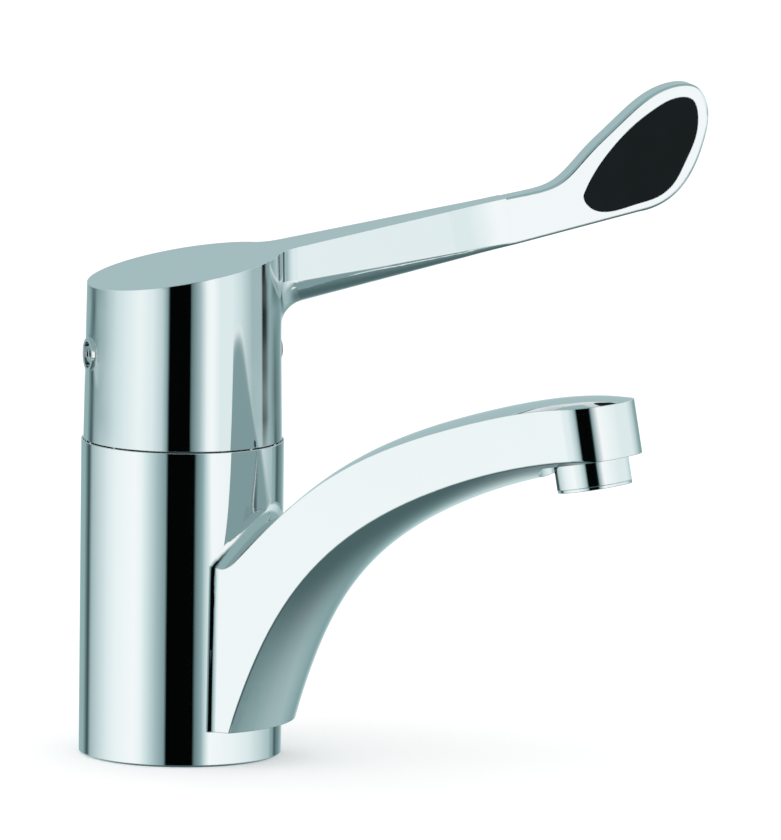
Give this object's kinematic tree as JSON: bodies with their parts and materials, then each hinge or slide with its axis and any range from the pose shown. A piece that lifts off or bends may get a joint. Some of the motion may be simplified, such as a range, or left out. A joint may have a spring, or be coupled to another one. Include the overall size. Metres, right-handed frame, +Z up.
{
  "type": "elbow lever tap",
  "caption": "Deck mixer tap with a fixed curved spout and a long elbow lever that lifts and swings to open and mix.",
  "frame": {"origin": "centre of the ring-shaped foot, on the deck", "axes": "+X along the spout towards the outlet, +Z up, +Y to the left of the spout seen from behind the body"},
  "size_m": [0.1809, 0.146, 0.1952],
  "materials": {
    "chrome": "polished chrome plate",
    "seal_rubber": "smooth black rubber",
    "cartridge_plastic": "moulded, satin",
    "carrier_plastic": "moulded, satin",
    "disc_ceramic": "lapped",
    "nut_brass": "turned",
    "stem_steel": "turned",
    "limit_ring_plastic": "moulded",
    "pad_rubber": "satin black",
    "plug_plastic": "moulded, grey",
    "insert_plastic": "moulded, pale grey",
    "regulator_plastic": "moulded, blue"
  },
  "bodies": {
    "tap_body": {"body_casting": "chrome", "base_seal": "seal_rubber", "cartridge_base": "cartridge_plastic", "port_seals": "seal_rubber", "fixed_disc": "disc_ceramic", "cartridge_housing": "cartridge_plastic", "housing_o_ring": "seal_rubber", "cartridge_nut": "nut_brass", "aerator_housing": "chrome", "aerator_insert": "insert_plastic", "flow_regulator": "regulator_plastic", "aerator_washer": "seal_rubber"},
    "rotor": {"turntable": "carrier_plastic", "pivot_pin": "stem_steel", "temperature_limit_ring": "limit_ring_plastic"},
    "lever": {"lever_handle": "chrome", "lever_stem": "stem_steel", "grub_screw": "stem_steel", "rear_screw_plug": "chrome", "front_index_plug": "plug_plastic", "near_grip_pad": "pad_rubber", "far_grip_pad": "pad_rubber"},
    "slider": {"disc_carrier": "carrier_plastic", "moving_disc": "disc_ceramic"}
  },
  "joints": [
    {"name": "lever_swing", "type": "hinge", "parent": "tap_body", "child": "rotor", "pos_m": [0, 0, 0.0995], "axis": [0, 0, 1], "range_deg": [-95, 5]},
    {"name": "lever_lift", "type": "hinge", "parent": "rotor", "child": "lever", "pos_m": [0, 0, 0.0995], "axis": [0.7071, -0.7071, 0], "range_deg": [0, 22]},
    {"name": "disc_slide", "type": "slide", "parent": "rotor", "child": "slider", "axis": [0.7071, 0.7071, 0], "range_m": [0, 0.0049]}
  ],
  "couplings": [
    {"joint": "disc_slide", "follows": "lever_lift", "m_per_rad": 0.01268}
  ]
}
